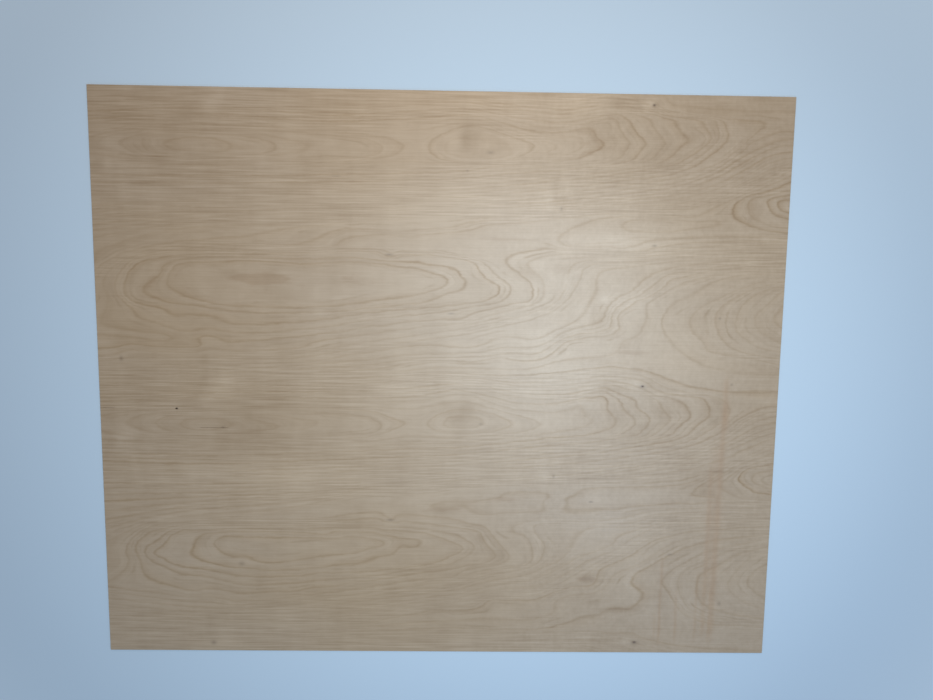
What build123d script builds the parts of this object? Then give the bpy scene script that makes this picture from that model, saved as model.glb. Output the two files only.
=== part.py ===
"""A thin birch plywood sheet: rotary-cut veneers laid crosswise and pressed into one board.

Frame: +X along the face grain, +Y across it, +Z out of the face veneer.
Origin: the middle of the underside, so the sheet lies flat on z = 0.
All sizes are in millimetres.
"""

from build123d import *
import os

# The trimmed sheet, measured along and across the face grain.
sheet_length = 1500.0
sheet_width = 1250.0

# The press glues an odd number of veneers, and the sander then takes a little off each face.
ply_count = 3
pressed_veneer = 1.4
sanded_off_a_face = 0.1

# The trim saw leaves sharp edges, which one pass of a sanding block takes off.
arris = 0.3

sheet_thickness = ply_count * pressed_veneer - 2 * sanded_off_a_face


def plywood_sheet():
    """The glued board as one solid, with an arris all round both of its faces."""
    with BuildPart() as board:
        with BuildSketch(Plane.XY):
            Rectangle(sheet_length, sheet_width)
        extrude(amount=sheet_thickness)
        underside_and_face = board.faces().filter_by(Axis.Z)
        chamfer(underside_and_face.edges(), length=arris)
    return board.part


os.makedirs("parts", exist_ok=True)
export_step(plywood_sheet(), "parts/plywood_sheet.step")
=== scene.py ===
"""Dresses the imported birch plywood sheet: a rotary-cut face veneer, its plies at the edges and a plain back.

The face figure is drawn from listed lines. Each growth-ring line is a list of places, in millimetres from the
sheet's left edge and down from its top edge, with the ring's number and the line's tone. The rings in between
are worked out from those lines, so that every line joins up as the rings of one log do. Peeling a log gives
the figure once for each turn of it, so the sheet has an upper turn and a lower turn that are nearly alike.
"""
import math

import bpy
import numpy as np
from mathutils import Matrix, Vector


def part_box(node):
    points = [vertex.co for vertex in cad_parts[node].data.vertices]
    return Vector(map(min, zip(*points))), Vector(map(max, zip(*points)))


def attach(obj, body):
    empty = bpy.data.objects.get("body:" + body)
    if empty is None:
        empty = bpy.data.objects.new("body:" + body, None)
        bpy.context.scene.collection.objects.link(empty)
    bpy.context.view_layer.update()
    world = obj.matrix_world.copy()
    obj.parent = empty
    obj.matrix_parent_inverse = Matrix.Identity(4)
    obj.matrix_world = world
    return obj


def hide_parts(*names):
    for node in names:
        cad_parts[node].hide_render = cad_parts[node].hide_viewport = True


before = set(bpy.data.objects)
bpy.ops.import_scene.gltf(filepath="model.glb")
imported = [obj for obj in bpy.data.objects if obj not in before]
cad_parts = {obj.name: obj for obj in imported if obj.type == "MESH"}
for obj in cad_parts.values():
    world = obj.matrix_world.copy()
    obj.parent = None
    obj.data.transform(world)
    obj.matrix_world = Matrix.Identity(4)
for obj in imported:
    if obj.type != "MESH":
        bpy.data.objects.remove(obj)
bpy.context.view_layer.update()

MM = 0.001
NODE = "plywood_sheet"

# The sheet, from the frame, in millimetres
low, high = (np.array(corner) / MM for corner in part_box(NODE))
length, width, thickness = high - low

# Its small chamfer, as on the CAD part, and its outer plies
arris = 0.3
face_ply = 1.3

# Places on the face are in millimetres from its left and top edges, with y down the sheet. A line is
# written as its ring number, its tone and its points

# Loops, knot and chevrons near the top edge, and the lines that sweep round them
FIRST_VALLEY = [
    (-28, 0.3, "157,120 175,111 200,105 250,105 285,113 297,123 285,132 250,134 200,132 175,128 157,120"),
    (-27, 0.33, "112,117 118,106 150,99 220,96 300,99 370,108 389,116 392,125 375,133 340,138 250,141 "
     "160,140 120,131 112,117"),
    (-26, 0.3, "65,117 85,108 105,101 160,92 250,90 350,95 430,108 460,116 465,121 440,131 400,138 "
     "340,144 250,147 150,147 90,136 65,117"),
    (-25, 0.5, "0,108 50,96 120,87 250,83 400,88 500,95 580,102 605,109 618,119 613,131 590,139 500,145 "
     "350,151 200,154 100,151 0,142"),
    (-24, 0.4, "0,98 100,82 250,76 400,82 500,88 600,95 645,104 663,115 655,128 630,138 560,147 400,158 "
     "200,162 0,158"),
    (-24, 0.5, "719,116 724,105 738,95 765,82 800,71 850,78 880,88 920,99 939,107 940,113 930,125 900,137 "
     "860,144 800,147 750,143 727,131 719,116"),
    (-25, 0.25, "751,118 758,105 790,95 835,97 858,104 866,114 856,127 830,135 790,136 762,130 751,118"),
    (-22, 0.35, "0,78 250,62 500,74 700,66 800,58 847,65 900,82 950,91 1000,92 1040,92 1048,104 1038,118 "
     "1000,130 940,139 870,148 800,157 600,165 400,173 200,177 0,176"),
    (-21, 0.8, "0,70 250,55 500,67 700,57 790,49 847,57 890,69 940,80 990,81 1029,77 1055,72 1067,78 "
     "1075,91 1091,103 1085,113 1066,123 1045,132 1005,141 951,146 912,150 870,155 837,158 800,165 "
     "600,174 400,181 200,185 0,184"),
    (-20, 0.6, "0,62 250,48 500,60 700,49 790,42 847,48 900,60 950,70 1000,70 1050,62 1085,54 1108,50 "
     "1120,59 1127,75 1140,93 1147,103 1138,118 1129,132 1100,142 1000,152 900,160 800,173 600,182 "
     "200,193 0,192"),
    (-19, 0.6, "700,42 790,36 900,51 1000,61 1060,52 1100,44 1118,42 1135,50 1149,62 1159,78 1176,93 "
     "1181,103 1169,119 1158,134 1130,144 1060,153 1000,161 900,169 800,180 600,190"),
    (-18, 0.6, "700,34 790,29 900,43 1000,52 1060,43 1105,36 1130,37 1172,46 1189,53 1195,65 1211,84 "
     "1223,101 1215,114 1202,129 1185,139 1137,148 1080,158 1000,168 800,188"),
    (-17, 0.7, "700,27 790,22 900,35 1000,43 1060,35 1110,29 1150,34 1190,40 1218,47 1238,55 1250,70 "
     "1262,84 1272,95 1257,107 1244,122 1224,137 1198,147 1140,157 1080,166 1000,175 800,196"),
    (-16, 0.6, "900,27 1000,35 1060,27 1110,22 1160,29 1200,37 1230,43 1270,48 1296,54 1306,65 1319,79 "
     "1322,94 1309,106 1283,124 1260,140 1224,150 1150,163 1080,174 1000,183 800,204"),
    (-15, 0.7, "1000,27 1060,20 1110,15 1160,23 1205,34 1250,42 1300,47 1326,52 1335,65 1338,84 1329,101 "
     "1303,124 1270,144 1224,158 1150,171 1000,191 800,212"),
    (-14, 0.6, "1000,19 1060,12 1110,8 1170,17 1210,31 1270,42 1315,46 1343,52 1353,68 1357,86 1345,104 "
     "1316,128 1290,146 1240,165 1150,179 1000,199 800,220"),
    (-13, 0.6, "1000,10 1060,5 1110,1 1170,8 1200,14 1212,27 1234,37 1283,42 1316,44 1358,48 1397,50 "
     "1425,52 1436,60 1426,70 1410,85 1400,96 1381,113 1350,136 1300,158 1240,175 1150,189 1000,208 "
     "800,228"),
    (-12, 0.3, "1216,0 1223,12 1241,21 1290,25 1340,28 1400,31 1500,30"),
    (-12, 0.6, "1500,73 1472,73 1446,80 1423,90 1404,100 1381,121 1350,144 1310,164 1250,183 1150,198 "
     "1000,217 800,234"),
    (-11, 0.7, "1500,88 1472,90 1446,101 1413,115 1381,134 1350,155 1310,172 1250,191 1150,207 1000,226 "
     "800,240"),
    (-10, 0.6, "1500,100 1460,106 1420,124 1381,146 1330,174 1260,198 1150,215 1000,233 800,245"),
    (-9, 0.7, "1500,113 1450,124 1400,153 1340,184 1260,207 1150,222 1000,239 800,250"),
]

# The long oval of the upper turn
FIRST_OVAL = [
    (-1, 0.55, "156,418 157,398 170,378 205,368 277,365 335,362 456,368 495,364 560,362 619,366 658,371 "
     "697,375 720,381 749,389 762,400 749,414 720,424 690,432 625,441 576,449 510,458 440,462 326,461 "
     "277,459 234,451 202,443 176,431 156,418"),
    (-2, 1.0, "104,430 108,420 128,404 144,392 150,376 170,366 200,359 300,354 450,357 544,353 593,356 "
     "625,359 690,361 723,365 756,369 774,374 785,382 788,390 799,396 797,408 793,417 782,422 762,426 "
     "743,435 716,446 677,452 625,458 560,465 495,471 391,474 339,474 293,471 261,467 228,461 195,458 "
     "156,454 143,450 120,441 104,430"),
    (-3, 0.7, "62,420 67,402 78,385 95,370 125,361 170,354 230,350 300,347 430,345 495,342 544,338 "
     "593,338 619,341 632,347 640,349 652,344 697,344 730,344 765,349 795,353 814,358 824,364 829,374 "
     "834,382 850,397 866,404 875,411 873,425 853,438 837,444 804,449 738,457 640,466 560,476 510,485 "
     "456,492 391,497 342,499 300,499 274,493 251,484 228,482 195,479 172,483 160,480 150,471 130,464 "
     "101,460 80,453 64,440 62,420"),
    (-4, 0.65, "44,420 50,400 62,383 78,368 110,356 150,348 220,343 300,341 430,339 495,337 544,333 "
     "593,333 619,335 634,342 641,345 654,338 697,338 740,340 780,346 814,353 838,360 850,368 857,378 "
     "876,394 890,403 897,413 896,426 880,441 850,449 800,458 738,469 641,480 560,492 510,502 472,506 "
     "423,511 375,517 326,519 283,518 261,513 228,511 202,517 182,516 160,510 137,502 114,495 94,488 "
     "78,471 59,451 46,436 44,420"),
]

# Lines that run past that oval, above it and below it
AROUND_FIRST_OVAL = [
    (-5, 0.62, "0,526 60,530 130,538 155,537 163,531 152,525 100,518 50,511 14,503 14,488 23,468 24,440 "
     "16,420 20,402 32,385 58,367 105,351 150,343 220,337 300,334 430,334 495,332 516,328 531,318 550,309 "
     "570,306 599,303 648,302 677,305 703,301 743,297 788,293 817,288 834,281 863,276 902,274 941,270 "
     "974,265 1005,261 1055,256 1088,251 1153,249 1192,249 1244,246 1273,239 1299,233 1332,223 1355,215 "
     "1381,206 1440,182 1500,153"),
    (-6, 0.62, "0,410 12,395 35,375 70,356 120,342 200,331 293,327 390,327 430,327 456,321 478,313 "
     "502,301 527,293 560,291 609,293 658,295 697,291 739,288 772,283 804,275 847,270 902,267 1000,256 "
     "1097,245 1153,243 1198,242 1250,238 1296,227 1332,216 1381,199 1440,174 1500,145"),
    (-7, 0.41, "0,388 20,372 60,351 120,334 200,321 293,313 326,310 355,304 375,300 423,291 472,285 "
     "510,281 560,275 650,271 750,266 850,257 950,253 1000,250 1150,236 1260,226 1340,206 1400,180 "
     "1450,154 1500,137"),
    (-8, 0.32, "0,352 40,334 98,314 140,304 192,295 261,289 326,285 423,280 560,268 700,262 850,252 "
     "1000,244 1150,229 1260,216 1340,194 1400,166 1450,139 1500,125"),
    (-5, 0.9, "0,557 49,552 65,547 98,549 147,552 195,552 218,551 225,545 218,536 228,528 251,527 270,534 "
     "287,539 309,536 358,534 407,528 456,524 488,518 537,513 554,508 593,501 625,499 658,492 703,488 "
     "749,484 788,483 804,477 821,469 853,461 902,449 925,445 942,441 948,430 947,412 940,399 925,389 "
     "918,382 902,371 889,360 890,352 900,343 918,338 951,332 977,327 1005,330 1087,332 1153,332 1185,329 "
     "1218,322 1250,316 1299,311 1348,308 1413,306 1500,306"),
    (-6, 0.54, "0,573 33,570 52,563 65,560 114,561 163,562 212,562 234,555 277,555 309,559 352,559 "
     "391,554 433,552 456,544 482,534 544,525 600,516 700,502 800,490 870,469 902,461 944,450 962,441 "
     "970,427 969,407 962,388 944,374 934,362 951,350 1000,340 1055,340 1104,340 1185,336 1250,326 "
     "1348,317 1500,314"),
    (-7, 0.41, "0,584 100,574 200,574 300,571 400,567 500,552 560,541 640,528 720,515 800,503 870,487 "
     "940,470 990,450 1006,438 1014,424 1022,402 1024,384 1030,368 1047,355 1081,350 1153,346 1250,335 "
     "1348,326 1500,322"),
    (-8, 0.36, "0,594 100,585 300,580 400,575 500,562 560,551 640,540 720,528 800,516 870,500 940,483 "
     "990,463 1012,447 1028,430 1041,408 1051,390 1056,372 1069,363 1100,358 1153,355 1250,344 1348,335 "
     "1500,330"),
    (-9, 0.46, "0,602 300,589 400,584 456,580 510,572 560,562 602,557 635,550 677,543 739,541 808,545 "
     "850,535 862,526 886,522 918,522 951,525 970,520 990,509 1030,492 1060,468 1075,440 1086,415 "
     "1086,390 1100,374 1150,365 1250,352 1348,343 1500,337"),
    (-10, 0.46, "0,609 300,598 500,583 600,573 680,563 760,560 830,556 880,545 950,542 985,530 1010,512 "
     "1040,500 1072,492 1102,480 1112,455 1130,434 1165,416 1185,396 1215,376 1260,364 1348,352 1500,344"),
    (-11, 0.41, "0,615 300,606 500,593 600,584 697,571 772,568 850,563 900,557 960,556 990,541 1010,526 "
     "1050,513 1100,506 1122,492 1124,466 1142,446 1180,425 1215,400 1240,382 1300,370 1400,356 1500,350"),
    (-12, 0.62, "0,622 300,614 500,602 600,595 641,589 658,584 697,578 739,574 821,576 850,571 886,565 "
     "896,570 918,572 967,570 984,563 997,550 1006,545 1016,534 1032,527 1055,524 1071,518 1114,516 "
     "1130,508 1138,496 1135,480 1137,466 1153,457 1172,440 1198,431 1218,420 1237,404 1250,390 1276,384 "
     "1299,378 1348,368 1400,362 1500,357"),
    (-13, 0.46, "0,628 300,621 500,610 641,601 739,591 821,590 886,592 951,590 990,577 1039,568 1088,563 "
     "1125,556 1143,541 1150,527 1172,518 1187,505 1194,490 1202,474 1198,448 1212,434 1240,418 1262,405 "
     "1290,394 1348,380 1420,370 1500,364"),
]

# Narrow tongues that come in from the right edge, beside the oval
FIRST_TONGUES = [
    (-4, 0.65, "1500,164 1440,191 1381,214 1342,231 1322,243 1299,254 1276,257 1250,253 1192,257 1127,257 "
     "1088,262 1045,277 1022,287 1004,300 1000,309 1006,316 1022,322 1055,323 1104,322 1146,322 1172,317 "
     "1192,309 1250,302 1348,298 1500,297"),
    (-3, 0.45, "1340,262 1300,266 1250,262 1192,261 1172,262 1146,268 1139,274 1146,283 1185,288 1250,287 "
     "1283,281 1320,276 1345,270 1340,262"),
    (-3, 1.2, "1500,178 1469,191 1440,200 1410,209 1391,218 1381,228 1377,241 1384,256 1404,267 1427,275 "
     "1452,281 1500,287"),
    (-2, 0.78, "1500,195 1446,208 1420,213 1410,225 1410,241 1423,257 1446,266 1462,272 1500,277"),
    (-1, 0.65, "1500,205 1462,212 1452,219 1456,231 1465,244 1479,251 1500,255"),
    (0, 0.91, "1500,216 1480,218 1472,225 1482,238 1500,244"),
]

# Half ovals at the right edge, under the tongues
FIRST_HALF_OVALS = [
    (-14, 0.39, "1500,371 1413,378 1381,383 1348,393 1316,410 1302,421 1283,431 1257,443 1241,461 "
     "1233,478 1234,493 1244,513 1260,532 1277,547 1299,563 1322,575 1348,583 1381,590 1413,595 1446,598 "
     "1500,597"),
    (-15, 0.45, "1500,381 1450,393 1413,405 1381,418 1355,431 1332,441 1316,451 1303,465 1295,479 "
     "1296,490 1303,505 1319,518 1329,529 1335,542 1355,550 1381,555 1413,560 1446,564 1500,576"),
    (-16, 0.33, "1500,390 1450,403 1413,417 1385,432 1362,450 1352,470 1354,492 1364,515 1387,536 "
     "1413,548 1450,556 1500,563"),
    (-17, 0.39, "1500,399 1460,411 1430,425 1416,438 1404,454 1399,470 1396,488 1401,503 1420,519 "
     "1440,532 1462,541 1500,547"),
    (-18, 0.42, "1500,412 1485,422 1469,438 1452,454 1440,470 1440,484 1446,497 1462,508 1479,518 "
     "1500,528"),
    (-19, 0.39, "1500,443 1491,455 1482,472 1485,483 1500,494"),
]

# The line between the two turns
MIDDLE = [
    (-14, 0.7, "0,633 300,628 500,618 641,611 739,604 821,604 900,606 990,600 1040,594 1071,590 1097,586 "
     "1127,584 1153,587 1192,590 1218,598 1244,607 1273,617 1299,625 1332,630 1365,635 1400,638 1446,637 "
     "1500,637"),
]

# Loops, knot and chevrons between the turns
SECOND_VALLEY = [
    (-28, 0.35, "175,722 190,712 230,709 270,712 285,722 270,731 230,735 190,732 175,722"),
    (-27, 0.35, "120,721 140,708 200,702 300,703 360,716 390,727 355,736 300,741 200,742 140,735 120,721"),
    (-26, 0.35, "60,720 90,704 150,697 250,695 350,698 440,709 475,716 455,729 400,738 300,747 180,749 "
     "100,740 60,720"),
    (-25, 0.45, "0,706 60,696 150,689 300,688 450,692 570,700 602,708 617,721 607,734 560,742 450,748 "
     "300,754 150,757 50,750 0,741"),
    (-24, 0.45, "0,694 100,684 250,680 450,683 600,691 642,705 670,716 655,725 600,745 500,754 350,762 "
     "150,766 0,760"),
    (-24, 0.5, "722,718 728,706 745,695 780,685 830,686 875,697 908,715 880,728 840,735 780,736 740,731 "
     "722,718"),
    (-25, 0.5, "755,716 765,703 800,697 830,702 842,711 830,722 790,726 764,724 755,716"),
    (-22, 0.5, "0,680 200,669 400,668 600,670 700,664 800,650 853,664 879,674 918,682 951,686 1005,687 "
     "1040,680 1062,672 1066,689 1081,702 1088,707 1075,716 1049,725 990,735 950,742 886,748 800,757 "
     "600,768 400,779 200,784 0,779"),
    (-21, 0.6, "0,674 200,663 400,661 600,660 700,654 780,640 853,652 899,664 951,668 1005,667 1060,655 "
     "1085,655 1110,650 1120,661 1119,679 1130,692 1140,705 1130,721 1110,728 1081,738 1000,745 900,758 "
     "800,768 600,778 400,788 200,793 0,788"),
    (-20, 0.9, "0,667 200,657 400,654 600,651 700,645 780,633 853,642 930,655 1005,657 1085,643 1115,640 "
     "1133,651 1150,664 1156,679 1172,692 1185,705 1176,720 1156,734 1136,741 1080,747 1000,754 900,766 "
     "800,777 600,787 400,797 200,803 0,798"),
    (-19, 0.6, "780,626 853,633 930,646 1005,648 1060,640 1115,632 1140,643 1169,653 1182,661 1185,673 "
     "1205,689 1215,699 1213,710 1202,725 1185,736 1153,743 1080,756 1000,763 800,785"),
    (-18, 0.7, "600,638 780,620 930,637 1000,638 1050,632 1115,622 1150,630 1192,640 1218,651 1234,661 "
     "1244,679 1262,702 1247,718 1231,734 1211,744 1150,752 1080,765 1000,772 800,793 600,804 400,815 "
     "200,822 0,818"),
    (-17, 0.8, "1000,628 1050,622 1110,614 1150,620 1192,630 1215,643 1250,651 1277,658 1293,669 1306,689 "
     "1303,699 1283,715 1270,731 1250,741 1200,752 1150,760 1080,774 1000,781 800,801"),
    (-16, 0.6, "1000,619 1050,613 1110,605 1150,607 1200,615 1222,632 1250,642 1300,648 1332,653 1345,669 "
     "1348,692 1332,705 1312,725 1290,742 1240,755 1150,770 1080,782 1000,790 800,809"),
    (-15, 0.7, "1000,609 1050,603 1100,595 1150,597 1195,603 1222,618 1250,630 1300,640 1350,648 1377,656 "
     "1392,680 1385,700 1360,718 1330,738 1290,755 1230,768 1150,780 1000,799 800,817"),
    (-14, 0.6, "1500,668 1470,672 1440,685 1410,702 1385,722 1350,743 1300,763 1230,778 1150,790 1000,808 "
     "800,824 600,840 400,852 200,859 0,858"),
    (-13, 0.5, "1500,680 1465,688 1430,705 1400,728 1350,757 1300,773 1230,788 1150,800 1000,817 800,831"),
    (-12, 0.5, "1500,692 1460,702 1420,722 1380,748 1330,770 1240,795 1150,808 1000,826 800,838"),
    (-11, 0.6, "1500,704 1460,715 1420,737 1370,764 1300,787 1150,816 1000,833 800,844 600,862 400,878 "
     "200,889 0,900"),
    (-10, 0.5, "1500,716 1460,729 1410,753 1350,780 1250,805 1150,823 1000,839 800,850"),
    (-9, 0.6, "1500,728 1450,745 1390,772 1330,796 1250,815 1150,830 1000,844 800,855 600,872 400,892 "
     "200,909 0,942"),
    (-8, 0.5, "1500,740 1450,760 1390,787 1330,808 1250,825 1150,838 1000,849"),
]

# The long oval of the lower turn
SECOND_OVAL = [
    (-1, 0.51, "242,994 251,985 261,980 326,981 423,981 511,981 560,978 602,984 625,989 619,998 593,1003 "
     "576,1011 550,1017 495,1022 456,1029 423,1035 375,1040 345,1038 326,1032 313,1024 293,1026 274,1024 "
     "254,1012 242,994"),
    (-2, 1.02, "192,1022 195,1007 202,991 212,978 228,973 277,968 326,967 391,968 456,971 498,973 514,967 "
     "544,964 593,968 625,973 658,980 690,983 703,985 708,991 697,1001 681,1002 664,996 655,1004 648,1016 "
     "632,1020 609,1024 593,1032 567,1040 528,1043 495,1048 456,1053 407,1057 342,1056 277,1050 228,1040 "
     "202,1030 192,1022"),
    (-3, 0.64, "106,1020 114,1010 130,1000 137,988 150,975 169,968 220,964 300,961 400,961 495,957 "
     "593,957 642,962 690,965 723,970 749,978 778,988 795,996 803,1002 795,1014 778,1020 756,1032 "
     "723,1042 690,1048 648,1053 593,1059 528,1063 472,1065 440,1071 391,1072 342,1074 293,1071 261,1066 "
     "234,1059 202,1055 169,1050 150,1046 130,1033 106,1020"),
    (-4, 0.68, "86,1017 94,1002 111,993 130,978 147,965 179,958 250,955 400,954 527,951 593,950 658,954 "
     "723,959 756,965 782,968 801,980 821,991 827,1004 817,1017 798,1027 782,1037 756,1043 723,1050 "
     "690,1054 642,1062 593,1070 510,1078 472,1082 423,1088 375,1090 326,1093 283,1088 257,1081 228,1074 "
     "195,1070 163,1068 143,1058 124,1050 101,1037 86,1017"),
    (-5, 0.85, "65,1007 70,993 85,981 101,968 130,962 163,955 208,949 300,946 400,945 495,942 528,939 "
     "576,936 619,937 637,944 658,941 707,944 756,950 788,954 814,957 843,968 850,985 860,999 873,1012 "
     "878,1022 863,1032 847,1040 814,1042 795,1050 772,1052 739,1058 690,1064 642,1074 593,1081 544,1087 "
     "511,1095 489,1095 456,1100 423,1107 375,1108 326,1112 293,1112 254,1104 221,1103 195,1107 163,1102 "
     "130,1092 101,1082 88,1073 78,1056 76,1040 68,1020 65,1007"),
    (-6, 0.59, "0,1088 10,1082 29,1068 46,1050 49,1033 44,1020 47,1007 50,998 60,985 84,967 107,956 "
     "150,948 220,943 300,939 400,938 495,934 528,928 567,923 593,919 619,923 630,933 638,939 648,931 "
     "658,926 716,928 788,936 821,947 847,950 860,962 876,981 892,1001 904,1014 904,1025 892,1037 "
     "860,1045 821,1050 795,1060 785,1070 749,1074 690,1079 593,1096 510,1108 440,1117 374,1126 309,1130 "
     "283,1133 257,1125 228,1122 170,1122 120,1114 60,1108 0,1100"),
]

# Lines that run past the lower oval, and straight grain at the bottom edge
AROUND_SECOND_OVAL = [
    (-6, 0.6, "730,905 749,897 788,894 837,892 863,887 886,882 896,874 918,872 983,872 996,880 985,890 "
     "984,905 984,913 951,916 902,919 853,922 827,919 814,910 801,903 770,908 730,905"),
    (-7, 0.3, "1500,753 1450,777 1400,800 1350,817 1250,836 1150,846 1050,852 951,854 902,855 853,858 "
     "788,865 749,871 700,877 640,878 560,884 495,895 440,906 370,917 300,922 200,930 100,948 50,968 "
     "0,995"),
    (-7, 0.45, "1500,905 1381,904 1283,908 1224,914 1153,930 1088,938 1039,937 990,934 951,939 918,949 "
     "914,955 918,965 935,968 948,978 957,994 961,1011 961,1027 951,1040 902,1050 863,1059 810,1072 "
     "750,1085 620,1104 540,1117 440,1128 374,1136 309,1140 283,1142 240,1135 170,1132 100,1124 0,1112"),
    (-8, 0.38, "1500,911 1381,911 1283,917 1224,930 1185,940 1088,945 1005,943 968,946 964,960 972,973 "
     "984,988 988,998 984,1014 979,1027 962,1042 935,1052 890,1060 850,1068 810,1081 750,1094 620,1114 "
     "500,1129 400,1141 300,1151 200,1146 100,1138 0,1126"),
    (-9, 0.38, "1500,917 1381,918 1283,925 1185,949 1105,952 1081,956 1068,966 1055,980 1048,996 "
     "1036,1017 1019,1033 990,1045 961,1060 935,1068 902,1074 863,1080 830,1089 788,1101 749,1106 "
     "620,1124 500,1140 400,1151 300,1160 200,1157 100,1150 0,1140"),
    (-10, 0.38, "1500,923 1381,925 1283,934 1200,955 1153,974 1143,988 1128,998 1100,1010 1060,1024 "
     "1030,1044 990,1064 961,1076 902,1085 863,1093 800,1110 749,1116 620,1136 500,1150 400,1161 300,1169 "
     "200,1167 100,1161 0,1153"),
    (-11, 0.3, "1500,929 1381,932 1283,941 1220,960 1180,982 1160,998 1120,1016 1085,1032 1050,1054 "
     "1005,1078 967,1091 902,1097 850,1105 790,1121 700,1132 600,1147 500,1160 400,1170 300,1177 200,1176 "
     "100,1171 0,1165"),
    (-12, 0.3, "1500,935 1381,940 1290,948 1235,964 1200,982 1170,1000 1130,1022 1100,1040 1060,1063 "
     "1020,1087 980,1102 930,1109 870,1112 830,1124 780,1133 700,1142 600,1158 500,1170 400,1179 300,1184 "
     "200,1184 100,1180 0,1176"),
    (-14, 0.26, "0,1196 100,1197 200,1198 300,1197 500,1188 593,1180 625,1173"),
    (-14, 0.64, "593,1180 625,1173 658,1165 697,1159 730,1151 804,1151 837,1146 850,1138 863,1126 "
     "886,1124 902,1126 925,1123 951,1126 977,1120 1005,1108 1039,1097 1062,1090 1085,1092 1104,1084 "
     "1114,1055 1120,1048 1153,1033 1185,1017 1211,998 1237,981 1257,975 1300,963 1400,952 1500,945"),
    (-15, 0.38, "0,1204 200,1206 300,1204 500,1196 600,1190 700,1180 804,1173 853,1170 902,1172 951,1172 "
     "984,1165 1000,1160 1010,1157 1016,1144 1014,1131 1032,1120 1055,1112 1100,1108 1130,1090 1148,1065 "
     "1200,1040 1240,1014 1280,988 1360,967 1500,955"),
    (-16, 0.26, "0,1212 200,1213 300,1211 500,1205 700,1196 772,1192 821,1195 900,1196"),
    (-16, 0.56, "821,1195 900,1196 990,1193 1022,1185 1055,1175 1075,1165 1104,1164 1127,1154 1146,1143 "
     "1166,1143 1185,1146 1198,1138 1215,1118 1215,1105 1202,1094 1190,1082 1195,1066 1205,1055 1224,1046 "
     "1244,1033 1262,1022 1310,998 1385,978 1500,965"),
    (-17, 0.38, "0,1220 300,1218 500,1213 800,1205 1000,1203 1104,1200 1146,1203 1198,1204 1218,1214 "
     "1244,1221 1300,1232 1500,1245"),
    (-18, 0.3, "0,1228 300,1226 500,1221 800,1214 1000,1212 1100,1210 1150,1215 1190,1222 1230,1235 "
     "1290,1250"),
    (-19, 0.22, "0,1235 500,1229 800,1223 1000,1221 1100,1220 1150,1227 1190,1240 1215,1250"),
    (-20, 0.22, "0,1242 500,1237 800,1232 1000,1230 1100,1231 1150,1243 1165,1250"),
    (-21, 0.22, "0,1249 500,1245 800,1241 1000,1239 1090,1242 1120,1250"),
]

# Tongues beside the lower oval
SECOND_TONGUES = [
    (-6, 0.78, "1500,764 1450,783 1400,805 1355,827 1332,838 1300,849 1267,853 1218,856 1153,857 1104,859 "
     "1068,864 1055,877 1030,887 1037,896 1029,906 1042,910 1071,911 1127,908 1150,909 1172,903 1198,901 "
     "1250,897 1283,893 1316,894 1381,892 1446,894 1500,898"),
    (-5, 0.78, "1500,776 1430,800 1381,825 1355,840 1332,856 1318,873 1332,877 1381,881 1430,888 1500,893"),
    (-4, 0.59, "1500,788 1440,806 1400,832 1381,854 1397,867 1413,875 1446,883 1500,884"),
    (-3, 1.2, "1500,800 1472,806 1446,811 1428,820 1423,833 1428,844 1446,856 1462,866 1479,869 1500,873"),
    (-2, 0.65, "1500,815 1460,825 1452,835 1456,845 1472,850 1500,860"),
]

# Half ovals at the right edge of the lower turn
SECOND_HALF_OVALS = [
    (-17, 0.45, "1500,975 1381,1000 1358,1007 1332,1020 1303,1037 1283,1050 1267,1066 1259,1079 1267,1092 "
     "1283,1115 1295,1134 1303,1147 1322,1160 1348,1170 1368,1178 1400,1182 1446,1183 1500,1188"),
    (-18, 0.39, "1500,984 1400,1008 1350,1030 1310,1050 1299,1066 1296,1086 1303,1112 1312,1125 1322,1141 "
     "1348,1154 1374,1164 1413,1170 1462,1176 1500,1179"),
    (-19, 0.39, "1500,994 1430,1012 1384,1040 1345,1065 1340,1085 1345,1118 1370,1140 1420,1155 1500,1168"),
    (-20, 0.39, "1500,1007 1472,1014 1446,1033 1427,1056 1413,1079 1413,1092 1430,1112 1459,1130 "
     "1500,1144"),
    (-21, 0.33, "1500,1035 1480,1045 1459,1066 1456,1082 1472,1100 1500,1119"),
]

# Ring numbers in the plain places between lines, which hold the surface there without drawing a line
PLATEAUS = [
    (-0.3, "190,405 250,392 330,390 450,395 560,388 700,390"),
    (-0.3, "250,425 350,430 450,430 600,420"),
    (-0.3, "300,1003 450,1003 570,998"),
    (-2.6, "665,1012 700,1016 728,1005 716,990"),
    (-4.5, "560,322 700,320 800,325 860,333"),
    (-4.6, "700,312 850,303 950,288 990,282"),
    (-5.4, "840,906 900,900 950,896"),
    (-6.4, "700,890 750,882 820,877 870,868 900,862 980,862"),
    (-2.4, "735,357 760,360 790,364"),
    (-6.5, "520,905 600,900 690,893"),
    (-6.6, "1010,868 1012,890 1012,905"),
    (-6.6, "14,1010 14,1035"),
    (-11.7, "1250,6 1380,10 1490,12"),
    (-12.5, "1243,30 1290,34 1330,37"),
    (-12.5, "1050,548 1085,545 1120,535"),
    (-16.6, "1180,1165 1225,1160 1245,1130 1262,1175"),
    (-16.6, "1350,1210 1450,1214 1490,1215"),
    (-25.6, "480,122 530,122 580,120"),
    (-25.6, "500,722 560,722"),
    (-28.4, "190,120 270,121"),
    (-28.4, "200,722 260,722"),
    (-11, "0,8 300,0 700,0 1000,1"),
    (-15, "0,30 250,18 500,27 700,18"),
    (-19, "0,55 250,42 500,54"),
    (-15, "0,238 300,225 600,217"),
    (-11, "0,290 300,258 600,245"),
    (-19, "0,201 300,198 600,190"),
]

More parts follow.
